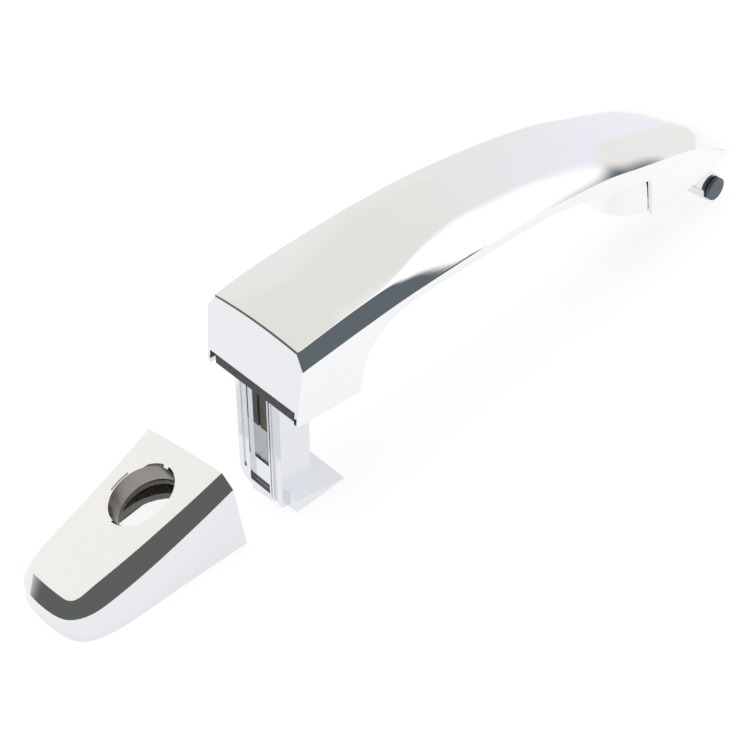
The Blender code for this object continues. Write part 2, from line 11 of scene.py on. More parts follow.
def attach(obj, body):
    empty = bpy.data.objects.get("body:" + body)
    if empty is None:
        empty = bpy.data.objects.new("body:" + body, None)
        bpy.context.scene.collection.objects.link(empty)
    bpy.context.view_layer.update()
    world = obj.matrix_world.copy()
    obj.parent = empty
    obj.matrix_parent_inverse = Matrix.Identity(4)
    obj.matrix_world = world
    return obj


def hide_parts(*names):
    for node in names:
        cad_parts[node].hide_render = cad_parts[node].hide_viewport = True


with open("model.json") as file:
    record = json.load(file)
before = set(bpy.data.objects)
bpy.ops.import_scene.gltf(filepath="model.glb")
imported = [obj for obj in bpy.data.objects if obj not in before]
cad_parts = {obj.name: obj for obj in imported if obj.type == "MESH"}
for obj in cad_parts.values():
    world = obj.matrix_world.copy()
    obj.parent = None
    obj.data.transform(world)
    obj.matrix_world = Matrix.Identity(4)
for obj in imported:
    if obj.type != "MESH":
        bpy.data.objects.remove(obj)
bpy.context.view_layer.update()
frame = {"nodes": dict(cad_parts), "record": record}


MM = 0.001

# The grip's own frame, in millimetres: x from its rear end to its tip, z out of the door. It stands on its
# toe and on one side of its hook, so it is tilted along its length and leans sideways.
TILT, LEAN = math.radians(7.0), math.radians(7.3)
HINGE = Vector((186.0, 0.0, -8.3))
HOOK_RADIUS, HOOK_HALF = 4.6, 8.0
HINGE_AT = Vector((176.6, -0.6, HOOK_RADIUS * math.cos(LEAN) + HOOK_HALF * math.sin(LEAN)))
TO_METRES = Matrix.Scale(MM, 4)
GRIP = (TO_METRES @ Matrix.Translation(HINGE_AT) @ Euler((LEAN, TILT, 0)).to_matrix().to_4x4()
        @ Matrix.Translation(-HINGE))
# The lock cover's own frame: x from its nose, below zero, to its inner end at zero.
COVER = TO_METRES @ Matrix.Translation((-23.9, 12.3, 0.0))

LENGTH = 199.0
WALL = 2.0
FLANK_TUCK = 0.6  # how far the flanks draw in at their lower edge
RIM_ROUND, END_ROUND = 0.45, 0.6
END_LEAN, END_HEIGHT, LEAN_REACH = 2.4, 23.0, 20.0  # of the rear end face, which leans forward at its top

# Tables along the grip, each a list of (x, value): half the width, the height of the creases between the
# flanks and the top, and how far those creases are rounded.
HALF_WIDTH = [(0, 19.2), (33, 18.7), (70, 18.0), (100, 17.2), (125, 16.4), (144, 15.7), (152, 15.0),
              (163, 13.8), (170, 12.9), (176, 11.9), (183, 10.8), (189, 9.6), (193, 8.0), (196, 6.0),
              (198, 3.8), (LENGTH, 2.0)]
CREASE = [(0, 17.0), (17, 19.5), (34, 22.0), (52, 24.1), (71, 25.7), (91, 26.2), (113, 25.6), (132, 22.9),
          (147, 20.5), (158, 18.2), (170, 14.3), (178, 10.8), (184, 7.4), (189, 4.7), (194, 2.8),
          (LENGTH, 2.2)]
CREASE_ROUND = [(0, 0.2), (70, 0.4), (100, 0.8), (140, 0.9), (155, 1.2), (168, 1.8), (182, 1.6), (192, 0.8),
                (LENGTH, 0.3)]
# Between the two creases the top is a bevel on each side and a gently crowned panel. The near bevel, on the
# -y side, is crisp at the rear end and melts into a roll further forward.
NEAR_WIDTH = [(0, 2.8), (35, 2.9), (47, 4.2), (60, 5.4), (90, 6.0), (124, 6.0), (147, 5.6), (166, 5.0),
              (178, 4.2), (189, 3.2), (LENGTH, 0.7)]
NEAR_SOFTNESS = [(0, 0.06), (26, 0.08), (36, 0.4), (50, 0.8), (70, 1.0), (LENGTH, 1.0)]
FAR_WIDTH = [(0, 2.8), (60, 3.4), (124, 3.6), (166, 3.4), (189, 2.8), (LENGTH, 0.7)]
FAR_SOFTNESS = [(0, 0.1), (40, 0.5), (LENGTH, 0.8)]
BEVEL_RISE = [(0, 3.8), (25, 3.8), (35, 4.0), (47, 4.4), (60, 4.5), (90, 4.7), (124, 4.2), (147, 3.6),
              (166, 3.4), (178, 3.1), (184, 2.6), (189, 1.9), (194, 1.0), (LENGTH, 0.3)]
# The panel's rise in its middle, and how much higher the crease on the +y side lies.
CROWN = [(0, 1.0), (13, 1.9), (25, 2.3), (60, 2.25), (90, 2.05), (124, 1.95), (147, 1.8), (166, 1.6),
         (178, 1.2), (189, 0.6), (LENGTH, 0.1)]
CANT = [(0, 0.0), (15, 1.4), (40, 1.9), (60, 1.8), (90, 1.2), (124, 0.8), (150, 0.6), (166, 0.5), (175, 0.9),
        (182, 1.5), (190, 1.5), (196, 0.4), (LENGTH, 0.0)]
# The underside, from the rear foot over the fingers to the front foot.
FOOT_END, PILLAR_TOP, PILLAR_FOOT, FRONT_FOOT_Z = 21.2, 140.0, 143.5, 1.7
ARCH = [(FOOT_END, 0), (22.2, 5.6), (23.9, 10.5), (27.2, 14.8), (31, 17.2), (35, 18.7), (42, 20.1),
        (52, 20.9), (64, 21.5), (75, 22.2), (92, 22.9), (105, 21.3), (114, 19.5), (124, 17.6), (133, 16.1),
        (PILLAR_TOP, 15.3), (PILLAR_FOOT, FRONT_FOOT_Z), (LENGTH, FRONT_FOOT_Z)]
HOLLOW_END = 186.0  # where the shell turns solid towards its tip

# The cover's outlines from the nose to the inner end, each a list of (x, half width).
COVER_FOOT = [(-50.85, 6.0), (-50.5, 9.0), (-49.8, 11.8), (-48.6, 14.0), (-46.4, 16.0), (-43.5, 17.4),
              (-37.2, 18.6), (-20, 19.4), (0, 20.6)]
COVER_FOLD = [(-49.9, 6.5), (-49.6, 8.8), (-48.8, 11.2), (-47.2, 13.6), (-45.2, 15.4), (-42.5, 16.7),
              (-38, 17.5), (-20, 18.9), (0, 20.6)]
COVER_PANEL = [(-46.3, 8.6), (-46.0, 9.6), (-45.2, 10.9), (-43.6, 11.9), (-41, 12.5), (-20, 14.9), (0, 17.0)]
FOLD_EDGE, PANEL_EDGE = COVER_FOLD[-1][1], COVER_PANEL[-1][1]
CORNER_START = -40.0  # where the sides of all three outlines begin to turn into the nose
# The height of the fold, and of the panel above it, each a list of (x, height).
COVER_CREASE = [(-51.2, 6.3), (-46, 7.5), (-26, 11.2), (-10, 15.4), (0, 18.6)]
COVER_CROWN = [(-51.2, 2.6), (-46, 3.1), (-40, 4.1), (-20, 4.6), (0, 4.4)]
COVER_WIDTH, COVER_CANT, COVER_LEAN = 41.2, 3.0, 0.9
HOLE_X, HOLE_RADIUS, HOLE_CHAMFER = -15.2, 9.35, 0.55
HOLE_TILT = math.radians(14.5)
COLLAR_WALL, COLLAR_DEPTH = 1.5, 6.4


# ---------------------------------------------------------------- curves

def soft(points, x):
    """The height at x of a soft curve through the points, which overshoots none of them."""
    if x <= points[0][0]:
        return points[0][1]
    if x >= points[-1][0]:
        return points[-1][1]
    rises = [(b[1] - a[1]) / (b[0] - a[0]) for a, b in zip(points, points[1:])]

    def slope(k):
        if k == 0 or k == len(points) - 1:
            return rises[min(k, len(rises) - 1)]
        before, after = rises[k - 1], rises[k]
        return 2 * before * after / (before + after) if before * after > 0 else 0.0

    i = max(k for k in range(len(points) - 1) if points[k][0] <= x)
    (x0, y0), (x1, y1) = points[i], points[i + 1]
    width = x1 - x0
    t = (x - x0) / width
    near, far = t * t * (3 - 2 * t), t * (1 - t)
    return y0 + (y1 - y0) * near + width * far * ((1 - t) * slope(i) - t * slope(i + 1))


def smoothed(values, passes):
    """Numbers or points, each pulled towards its neighbours several times over, with both ends kept."""
    for _ in range(passes):
        inner = [(a + 2 * b + c) / 4 for a, b, c in zip(values, values[1:], values[2:])]
        values = [values[0], *inner, values[-1]]
    return values


def faired(points, step=1.0, passes=14):
    """The soft curve as an even table that is smoothed until reflections run over it without a kink."""
    low, high = points[0][0], points[-1][0]
    count = round((high - low) / step)
    xs = [low + (high - low) * k / count for k in range(count + 1)]
    ys = smoothed([soft(points, x) for x in xs], passes)

    def at(x):
        """The cubic through the four values around x."""
        k = min(max((x - low) / (high - low) * count, 0), count - 1e-9)
        i = int(k)
        before, after = ys[max(i - 1, 0)], ys[min(i + 2, count)]
        t, a, b = k - i, ys[i], ys[i + 1]
        return a + 0.5 * t * (b - before + t * (2 * before - 5 * a + 4 * b - after
                                                + t * (3 * (a - b) + after - before)))
    return at


def straight(points, x):
    """The height at x of the straight lines through the points."""
    for (x0, y0), (x1, y1) in zip(points, points[1:]):
        if x <= x1:
            return y0 + (y1 - y0) * max(0.0, x - x0) / (x1 - x0)
    return points[-1][1]


half_width, crease, crown = faired(HALF_WIDTH, passes=6), faired(CREASE), faired(CROWN)
crease_round, cant, bevel_rise = faired(CREASE_ROUND), faired(CANT, passes=30), faired(BEVEL_RISE)
near_width, near_softness = faired(NEAR_WIDTH), faired(NEAR_SOFTNESS, passes=8)
far_width, far_softness = faired(FAR_WIDTH), faired(FAR_SOFTNESS)


def bevel_at(x, side):
    """The width and softness of the bevel on one side."""
    return (near_width(x), near_softness(x)) if side < 0 else (far_width(x), far_softness(x))


def eased(run, soft_part):
    """A climb from 0 to 1 that stops at a run of 1, with its corner rounded off."""
    if run <= 1 - soft_part:
        return run
    if run >= 1 + soft_part:
        return 1.0
    return run - (run - 1 + soft_part) ** 2 / (4 * soft_part)


def top_height(x, y):
    """The height of the grip's top at (x, y)."""
    half = half_width(x)
    width, ease = bevel_at(x, y)
    bevel = bevel_rise(x) * eased((half - abs(y)) / width, ease)
    across = y / half
    return crease(x) + cant(x) * (1 + across) / 2 + bevel + crown(x) * (1 - across ** 2)


def leaned(x, z, lean):
    """The x of a point once the end face at x = 0 leans: less further on, and not at all past LEAN_REACH."""
    return x + lean * max(0.0, 1 - abs(x) / LEAN_REACH) / END_HEIGHT * max(z, 0)


def evenly(path, count):
    """Count points spread evenly along a path, without its last point."""
    lengths = [0.0]
    for a, b in zip(path, path[1:]):
        lengths.append(lengths[-1] + (b - a).length)
    points = []
    for k in range(count):
        at = lengths[-1] * k / count
        i = max(n for n in range(len(path) - 1) if lengths[n] <= at + 1e-9)
        points.append(path[i].lerp(path[i + 1], (at - lengths[i]) / max(lengths[i + 1] - lengths[i], 1e-9)))
    return points


def spread(low, high, step):
    """Even steps of about the given size from low, without high itself."""
    count = max(1, round((high - low) / step))
    return [low + (high - low) * k / count for k in range(count)]


# ---------------------------------------------------------------- meshes

def mesh_of(bm, place, smooth_angle=32):
    """The bmesh as a placed mesh, shaded smooth up to an angle in degrees."""
    bmesh.ops.recalc_face_normals(bm, faces=bm.faces)
    mesh = bpy.data.meshes.new("piece")
    bm.to_mesh(mesh)
    bm.free()
    mesh.transform(place)
    mesh.shade_smooth()
    mesh.set_sharp_from_angle(angle=math.radians(smooth_angle))
    return mesh


def object_of(name, mesh):
    """A new object in the scene."""
    obj = bpy.data.objects.new(name, mesh)
    bpy.context.scene.collection.objects.link(obj)
    return obj


def loft(rings):
    """A closed skin over rings of equal length."""
    bm = bmesh.new()
    loops = [[bm.verts.new(p) for p in ring] for ring in rings]
    for a, b in zip(loops, loops[1:]):
        for i in range(len(a)):
            j = (i + 1) % len(a)
            bm.faces.new((a[i], a[j], b[j], b[i]))
    bm.faces.new(loops[0])
    bm.faces.new(loops[-1])
    return bm


def prism(outline, axis, low, high):
    """An outline drawn out along an axis."""
    def place(a, b, along):
        return {"X": (along, a, b), "Y": (a, along, b), "Z": (a, b, along)}[axis]

    return loft([[place(a, b, along) for a, b in outline] for along in (low, high)])


def box(x, y, z):
    return prism([(x[0], y[0]), (x[1], y[0]), (x[1], y[1]), (x[0], y[1])], "Z", *z)


def rod(centre, axis, radius, length, sides=64):
    turns = [2 * math.pi * k / sides for k in range(sides)]
    spin = Vector((0, 0, 1)).rotation_difference(Vector(axis)).to_matrix()
    rings = [[Vector(centre) + spin @ Vector((radius * math.cos(a), radius * math.sin(a), h)) for a in turns]
             for h in (0, length)]
    return loft(rings)


def worked(mesh, steps, smooth_angle):
    """The mesh after all steps, baked. A step is (operation, tool mesh) or ("BEVEL", (width, segments))."""
    obj = object_of("work", mesh)
    used = [obj]
    for operation, detail in steps:
        if operation == "BEVEL":
            modifier = obj.modifiers.new("bevel", "BEVEL")
            modifier.width, modifier.segments = detail[0] * MM, detail[1]
            modifier.limit_method, modifier.angle_limit = "ANGLE", math.radians(min(30, smooth_angle))
            modifier.use_clamp_overlap = True
        else:
            tool = object_of("tool", detail)
            used.append(tool)
            modifier = obj.modifiers.new("boolean", "BOOLEAN")
            modifier.operation, modifier.solver, modifier.object = operation, "EXACT", tool
    bpy.context.view_layer.update()
    evaluated = obj.evaluated_get(bpy.context.evaluated_depsgraph_get())
    result = bpy.data.meshes.new_from_object(evaluated)
    for extra in used:
        bpy.data.objects.remove(extra)
    result.shade_smooth()
    result.set_sharp_from_angle(angle=math.radians(smooth_angle))
    return result


def carve(bm, steps, place, smooth_angle):
    """The bmesh after a list of steps whose tools are bmeshes in the same place."""
    placed = [(name, detail if name == "BEVEL" else mesh_of(detail, place)) for name, detail in steps]
    return worked(mesh_of(bm, place), placed, smooth_angle)


def weigh(obj):
    """Lets large faces set the normals, so that flat faces stay flat beside their rounded edges."""
    modifier = obj.modifiers.new("weigh", "WEIGHTED_NORMAL")
    modifier.keep_sharp = True
    modifier.weight = 80


# ---------------------------------------------------------------- materials

def nodes_of(name, colour, roughness, metallic):
    """A new material with its node tree and its shader."""
    material = bpy.data.materials.new(name)
    material.use_nodes = True
    tree = material.node_tree
    shader = tree.nodes["Principled BSDF"]
    shader.inputs["Base Color"].default_value = (*colour, 1)
    shader.inputs["Roughness"].default_value = roughness
    shader.inputs["Metallic"].default_value = metallic
    return material, tree, shader


def noise(tree, scale, detail, stretch=(1, 1, 1)):
    where = tree.nodes.new("ShaderNodeTexCoord")
    mapping = tree.nodes.new("ShaderNodeMapping")
    mapping.inputs["Scale"].default_value = stretch
    texture = tree.nodes.new("ShaderNodeTexNoise")
    texture.inputs["Scale"].default_value = scale
    texture.inputs["Detail"].default_value = detail
    tree.links.new(where.outputs["Object"], mapping.inputs["Vector"])
    tree.links.new(mapping.outputs["Vector"], texture.inputs["Vector"])
    return texture.outputs["Fac"]


def ranged(tree, value, low, high):
    """The noise's middle values spread over the range from low to high."""
    node = tree.nodes.new("ShaderNodeMapRange")
    node.inputs["From Min"].default_value, node.inputs["From Max"].default_value = 0.3, 0.7
    node.inputs["To Min"].default_value, node.inputs["To Max"].default_value = low, high
    tree.links.new(value, node.inputs["Value"])
    return node.outputs["Result"]


def tinted(tree, shader, value, dark, light):
    mix = tree.nodes.new("ShaderNodeMix")
    mix.data_type = "RGBA"
    mix.inputs[6].default_value, mix.inputs[7].default_value = (*dark, 1), (*light, 1)
    tree.links.new(value, mix.inputs["Factor"])
    tree.links.new(mix.outputs[2], shader.inputs["Base Color"])


def bumped(tree, shader, value, strength, distance):
    bump = tree.nodes.new("ShaderNodeBump")
    bump.inputs["Strength"].default_value, bump.inputs["Distance"].default_value = strength, distance
    tree.links.new(value, bump.inputs["Height"])
    tree.links.new(bump.outputs["Normal"], shader.inputs["Normal"])


def chrome_material(name, light, dark, smear=(0.015, 0.06)):
    """Polished plating: nearly a mirror, with faint smears where it has been handled."""
    material, tree, shader = nodes_of(name, light, 0.03, 1.0)
    cloud = noise(tree, 26, 4)
    tree.links.new(ranged(tree, cloud, *smear), shader.inputs["Roughness"])
    tinted(tree, shader, ranged(tree, noise(tree, 11, 2), 0, 1), dark, light)
    bumped(tree, shader, noise(tree, 70, 2), 0.02, 0.0004)
    return material


def rubber_material(name, dark, light):
    """Moulded rubber or nylon: matt, with a fine grain."""
    material, tree, shader = nodes_of(name, dark, 0.7, 0.0)
    grain = noise(tree, 900, 5)
    tinted(tree, shader, ranged(tree, noise(tree, 60, 4), 0, 1), dark, light)
    tree.links.new(ranged(tree, grain, 0.55, 0.8), shader.inputs["Roughness"])
    bumped(tree, shader, grain, 0.25, 0.0002)
    return material


def steel_material(name):
    """Zinc-plated steel with fine streaks."""
    material, tree, shader = nodes_of(name, (0.56, 0.56, 0.57), 0.3, 1.0)
    streaks = noise(tree, 300, 4, (1, 1, 8))
    tree.links.new(ranged(tree, streaks, 0.22, 0.42), shader.inputs["Roughness"])
    tinted(tree, shader, ranged(tree, noise(tree, 140, 3), 0, 1), (0.46, 0.46, 0.48), (0.62, 0.62, 0.63))
    bumped(tree, shader, streaks, 0.1, 0.0001)
    return material


LOOKS = {
    "chrome": chrome_material("chrome_plate", (0.90, 0.90, 0.91), (0.86, 0.865, 0.875)),
    "nylon": rubber_material("nylon_moulding", (0.07, 0.08, 0.09), (0.11, 0.12, 0.13)),
    "rubber": rubber_material("black_rubber", (0.075, 0.078, 0.08), (0.11, 0.11, 0.11)),
    "olive_rubber": rubber_material("olive_rubber_block", (0.19, 0.19, 0.145), (0.25, 0.25, 0.2)),
    "steel": steel_material("zinc_steel"),
}
# A darker, bluer copy of the chrome, which is painted shade: for the faces of the cover that do not face up,
# and for the grip's rear end face.
PAINTED_SHADE_CHROME = chrome_material("painted_shade_chrome", (0.80, 0.805, 0.835), (0.775, 0.785, 0.815))
# A brighter copy of the chrome, which is painted light: for the faces of the lock cover that face up.
PAINTED_LIGHT_CHROME = chrome_material("painted_light_top_chrome", (0.97, 0.97, 0.965), (0.94, 0.94, 0.935))
# A darker, bluer copy of the chrome, which is painted shade, with heavier smears: for the rear arm and the
# front hook.
PAINTED_SHADE_ARM_CHROME = chrome_material("painted_shade_arm_chrome", (0.83, 0.845, 0.87), (0.76, 0.775, 0.81), (0.05, 0.14))
# A dark brown copy of the chrome, which is painted shade inside the hole's collar, with rougher smears.
PAINTED_SHADE_BORE = chrome_material("painted_shade_bore", (0.40, 0.37, 0.34), (0.26, 0.24, 0.22), (0.2, 0.4))
SLATE = rubber_material("slate_bush", (0.10, 0.125, 0.15), (0.16, 0.19, 0.22))
TAUPE = rubber_material("taupe_seal", (0.17, 0.155, 0.14), (0.25, 0.23, 0.21))


def add_chrome(name, mesh, body, node, *looks):
    """A chromed piece that stands for a CAD node, with the looks that its faces take by their index."""
    obj = object_of(name, mesh)
    mesh.materials.clear()
    for look in looks:
        mesh.materials.append(look)
    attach(obj, body)
    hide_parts(node)
    weigh(obj)


# ---------------------------------------------------------------- grip shell

def side_section(x, side):
    """One side of the grip's section at x, from the middle of the top to the rim: (y, height)."""
    half, (width, ease) = half_width(x), bevel_at(x, side)
    low, fold = straight(ARCH, x), top_height(x, side * half)
    cut = min(crease_round(x), (fold - low) * 0.45, width * 0.5)
    turn_start, turn_end = half - width * (1 + ease), half - width * (1 - ease)
    ys = [turn_start * (1 - (1 - k / 12) ** 1.5) for k in range(12)]
    ys += [turn_start + (turn_end - turn_start) * k / 12 for k in range(12)]
    ys += [turn_end + (half - cut - turn_end) * k / 6 for k in range(7)]
    points = [(max(y, 0.0), top_height(x, side * max(y, 0.0))) for y in ys]
    start, fold_at, end = Vector(points[-1]), Vector((half, fold)), Vector((half, fold - cut))
    for k in range(1, 6):
        t = k / 5
        points.append(tuple((1 - t) ** 2 * start + 2 * t * (1 - t) * fold_at + t * t * end))
    foot = max(min(RIM_ROUND, (end.y - low) * 0.4), 0.02)
    rim = half - FLANK_TUCK
    for k in range(1, 9):
        t = k / 8
        points.append((half + (rim - half) * t, end.y + (low + foot - end.y) * t))
    for k in range(1, 5):
        a = math.pi / 2 * k / 4
        points.append((rim - foot * (1 - math.cos(a)), low + foot * (1 - math.sin(a))))
    return [(side * y, z) for y, z in points]


def grip_ring(x, shrink):
    """The grip's whole section at x, drawn in by a little at the rounded rear edge."""
    right, left = side_section(x, -1), side_section(x, 1)
    top, low = left[0][1], left[-1][1]
    middle, tall = (top + low) / 2, max(top - low, 0.5)
    half = half_width(x)
    wide = (half - shrink) / half
    high = max(tall - 2 * shrink, 0.3) / tall
    whole = list(reversed(right[1:])) + left
    return [(leaned(x, z, END_LEAN), y * wide, middle + (z - middle) * high) for y, z in whole]


def grip_stations():
    """Where the grip's sections lie along x, each with how far it is drawn in."""
    turns = [math.radians(degrees) for degrees in (0, 18, 36, 54, 72)]
    stations = [(END_ROUND * (1 - math.cos(a)), END_ROUND * (1 - math.sin(a))) for a in turns]
    marks = sorted({x for x, _ in ARCH if END_ROUND + 0.2 < x < LENGTH})
    marks = [END_ROUND, *marks, HOLLOW_END, LENGTH]
    for low, high in zip(marks, marks[1:]):
        if high - low > 0.05:
            stations += [(x, 0.0) for x in spread(low, high, 1.4 if low < HOLLOW_END else 0.55)]
    return stations + [(LENGTH, 0.0)]


def inner_ring(x):
    """The hollow's section at x, open downwards."""
    half = half_width(x) - WALL
    arch = [(half * k / 14, top_height(x, half * k / 14) - 1.15 * WALL) for k in range(-14, 15)]
    below = -5.0
    return [(leaned(x, z, END_LEAN), y, z) for y, z in [(-half, below), *arch, (half, below)]]


def outer_shell():
    body = loft([grip_ring(x, shrink) for x, shrink in grip_stations()])
    hollow = loft([inner_ring(x) for x in [WALL, *spread(4, HOLLOW_END - 2, 4.0), HOLLOW_END]])
    pad_slot = box((-2, WALL + 1), (-17.2, 17.2), (-2, 4.0))
    mesh = carve(body, [("DIFFERENCE", hollow), ("DIFFERENCE", pad_slot)], GRIP, 30)
    # The rear end face takes the darker chrome, which is painted shade; the rest keeps the plain chrome.
    add_chrome("chrome_outer_shell", mesh, "grip", "outer_shell", LOOKS["chrome"], PAINTED_SHADE_CHROME)
    backwards = -(GRIP.to_3x3() @ Vector((1, 0, 0))).normalized()
    for face in mesh.polygons:
        if face.normal.dot(backwards) > 0.96:
            face.material_index = 1


outer_shell()


# ---------------------------------------------------------------- finger-side liner

LINER_THICKNESS = 1.8
LINER_BELLY = [(FOOT_END, 0.0), (24, 0.9), (60, 1.1), (110, 1.1), (128, 1.4), (PILLAR_TOP, 3.0),
               (PILLAR_FOOT, 7.0)]


def liner_path():
    """Even points along the underside, with rounded inner corners, from foot to foot in the side view."""
    route = [(FOOT_END - 0.1, 0.3)]
    route += [(x, z) for x, z in ARCH if FOOT_END < x < PILLAR_TOP]
    route += [(PILLAR_TOP - 0.4, 15.3), (141.0, 11.5), (142.3, 6.5), (PILLAR_FOOT - 0.2, FRONT_FOOT_Z + 0.3)]
    path = [Vector(p) for p in route]
    return smoothed(evenly(path, 170) + [path[-1]], 10)


def liner():
    path = liner_path()
    rings = []
    for i, at in enumerate(path):
        along = (path[min(i + 1, len(path) - 1)] - path[max(i - 1, 0)]).normalized()
        inward = Vector((-along.y, along.x))
        half = half_width(at.x) - WALL - FLANK_TUCK + 0.2
        belly = straight(LINER_BELLY, at.x)
        shares = [-1 + 2 * k / 24 for k in range(25)]
        lower = [(across, -belly * 1.3 * (1 - abs(across) ** 2.4)) for across in shares]
        ring = lower + [(across, lift + LINER_THICKNESS) for across, lift in reversed(lower)]
        rings.append([(at.x + inward.x * lift, across * half, at.y + inward.y * lift)
                      for across, lift in ring])
    mesh = mesh_of(loft(rings), GRIP, 40)
    add_chrome("chrome_finger_liner", mesh, "grip", "finger_side_shell", LOOKS["chrome"])


liner()


# ---------------------------------------------------------------- rear arm

ARM_FRONT, ARM_BACK, ARM_BOTTOM, ARM_TOP = 2.2, 12.0, -35.9, 3.4
ARM_SIDES = (-8.7, 9.7)
ARM_CORNER = (5.2, 4.2)  # the rounded lower corner, across and up
WINDOW = (-2.4, 4.0)
TOE_TIP, TOE_SIDES = 20.2, (-13.1, 4.5)
ABOVE = 9.0  # past the top of the post, for the cuts


def arm_post():
    low, high = ARM_SIDES
    wide, tall = ARM_CORNER
    turns = [math.pi / 2 * k / 8 for k in reversed(range(9))]
    corner = [(high - wide * (1 - math.cos(a)), ARM_BOTTOM + tall * (1 - math.sin(a))) for a in turns]
    sole = ARM_BOTTOM - 4
    outline = [(low, ARM_TOP), (low, sole), (high - wide, sole), *corner, (high, ARM_TOP)]
    return prism(outline, "X", ARM_FRONT, ARM_BACK)


def arm_toe():
    """The toe, whose sole rises with the grip's tilt so that it stands flat."""
    back, tip = [(x, ARM_BOTTOM + (x - ARM_FRONT) * math.tan(TILT)) for x in (ARM_FRONT + 1.4, TOE_TIP)]
    outline = [(back[0], back[1] - 4), (tip[0], tip[1] - 4), (tip[0], tip[1] + 1.3), (back[0], back[1] + 5.2)]
    return prism(outline, "Y", *TOE_SIDES)


def rear_arm():
    low, high = ARM_SIDES
    root = ARM_BOTTOM + 3.2
    web = [(ARM_BACK - 2, root - 2.5), (ARM_BACK + 3.0, root - 2.0), (ARM_BACK - 2, root + 4)]
    window_frame = (WINDOW[0] - 0.9, WINDOW[1] + 1.0)
    steps = [
        ("UNION", arm_toe()),
        ("UNION", prism(web, "Y", low + 0.6, TOE_SIDES[1] - 0.6)),
        ("DIFFERENCE", box((0, 14), WINDOW, (-26.0, ABOVE))),
        ("DIFFERENCE", box((0, ARM_FRONT + 1.1), window_frame, (-34.2, ABOVE))),
        ("DIFFERENCE", box((0, ARM_FRONT + 0.7), (-6.4, -5.0), (-40.0, ABOVE))),
        ("DIFFERENCE", box((0, ARM_FRONT + 0.7), (-4.4, -3.9), (-40.0, ABOVE))),
        ("DIFFERENCE", box((0, ARM_FRONT + 0.5), (6.6, 7.6), (-31.0, ABOVE))),
        ("BEVEL", (0.35, 3)),
    ]
    post = carve(arm_post(), steps, GRIP, 35)
    neck = box((ARM_FRONT + 2.0, ARM_BACK - 0.7), (low + 0.8, high - 0.8), (1.4, 5.4))
    flange = box((ARM_FRONT + 1.6, ARM_BACK + 3.0), (-16.4, 16.4), (4.4, 7.0))
    below_ground = box((-60, 60), (-60, 60), (-30, 0))
    steps = [
        ("UNION", mesh_of(neck, GRIP)),
        ("UNION", mesh_of(flange, GRIP)),
        ("DIFFERENCE", mesh_of(below_ground, TO_METRES)),
    ]
    # The rear arm takes the darker chrome, which is painted shade.
    add_chrome("chrome_rear_arm", worked(post, steps, 40), "grip", "rear_arm", PAINTED_SHADE_ARM_CHROME)


rear_arm()


# ---------------------------------------------------------------- front hook

HOOK_NECK = [(171, 3), (183, 3), (184.2, -2), (186.5, -5.5), (183.0, -9.5), (178, -5), (174, 0)]
HOOK_MOUTH = [(1.0, 1.2), (9, 7.5), (9, -1.5), (2.2, -1.5)]  # from the hinge line
BORE_RADIUS, BORE_HALF = 3.2, 12.0


def front_hook():
    hook = prism(HOOK_NECK, "Y", -HOOK_HALF, HOOK_HALF)
    flange = box((147, 183), (-7.5, 7.5), (2.6, 5.0))
    eye = rod(HINGE + Vector((0, -HOOK_HALF, 0)), (0, 1, 0), HOOK_RADIUS, 2 * HOOK_HALF)
    bore = rod(HINGE + Vector((0, -BORE_HALF, 0)), (0, 1, 0), BORE_RADIUS, 2 * BORE_HALF)
    mouth = prism([(x + HINGE.x, z + HINGE.z) for x, z in HOOK_MOUTH], "Y", -BORE_HALF, BORE_HALF)
    steps = [
        ("UNION", flange),
        ("UNION", eye),
        ("DIFFERENCE", bore),
        ("DIFFERENCE", mouth),
        ("BEVEL", (0.3, 3)),
    ]
    # The front hook takes the darker chrome, which is painted shade.
    add_chrome("chrome_front_hook", carve(hook, steps, GRIP, 35), "grip", "front_hook", PAINTED_SHADE_ARM_CHROME)


front_hook()


# ---------------------------------------------------------------- lock cover

cover_crease, cover_crown = faired(COVER_CREASE, passes=8), faired(COVER_CROWN, passes=6)


def cover_base(x, y):
    """The height of the fold at (x, y); it slopes across the cover."""
    return cover_crease(x) - COVER_CANT * (y / COVER_WIDTH + 0.5)


def cover_top(x, y):
    """The height of the cover's top panel, which is slightly crowned."""
    return cover_base(x, y) + cover_crown(x) - 0.5 * (y / 20) ** 2


def cover_end(x, y):
    """The height of the inner end's outline: the panel, and the bevel down to the fold on each side."""
    if abs(y) <= PANEL_EDGE:
        return cover_top(x, y)
    share = (FOLD_EDGE - abs(y)) / (FOLD_EDGE - PANEL_EDGE)
    fold = cover_base(x, math.copysign(FOLD_EDGE, y))
    return fold + share * (cover_top(x, math.copysign(PANEL_EDGE, y)) - fold)


def cover_outline(table, inset=0.0):
    """Points (x, y) from the inner end's -y corner round the nose to its +y corner, even on each stretch."""
    half = faired(table, 0.3, 2)
    front, reach = table[0]
    shares = [k / 60 for k in range(61)]
    side = [CORNER_START * share for share in shares]
    turn = [front + (CORNER_START - front) * (1 - share) ** 2 for share in shares]
    across = [-reach + reach * k / 15 for k in range(16)]
    nose = [Vector((front - 0.3 * (1 - (y / reach) ** 2), y)) for y in across]
    right = evenly([Vector((x, -half(x))) for x in side], 50)
    right += evenly([Vector((x, -half(x))) for x in turn], 18)
    right += evenly(nose, 16)
    outline = smoothed(right + [nose[-1]] + [Vector((p.x, -p.y)) for p in reversed(right)], 2)
    if not inset:
        return outline
    moved = []
    for i, p in enumerate(outline):
        along = outline[min(i + 1, len(outline) - 1)] - outline[max(i - 1, 0)]
        q = p + Vector((along.y, -along.x)).normalized() * inset
        moved.append(Vector((min(q.x, 0.0), q.y)))
    moved[0].x = moved[-1].x = 0.0
    return moved


def closed_ring(outline, height, end_height, reach, end_x=0.0):
    """A ring through the outline's points and back along the inner end, no further out than the reach."""
    ring = [Vector((p.x, p.y, height(p.x, p.y))) for p in outline]
    for k in range(1, 44):
        y = max(-reach, min(reach, FOLD_EDGE * (1 - 2 * k / 44)))
        ring.append(Vector((end_x, y, end_height(end_x, y))))
    return ring


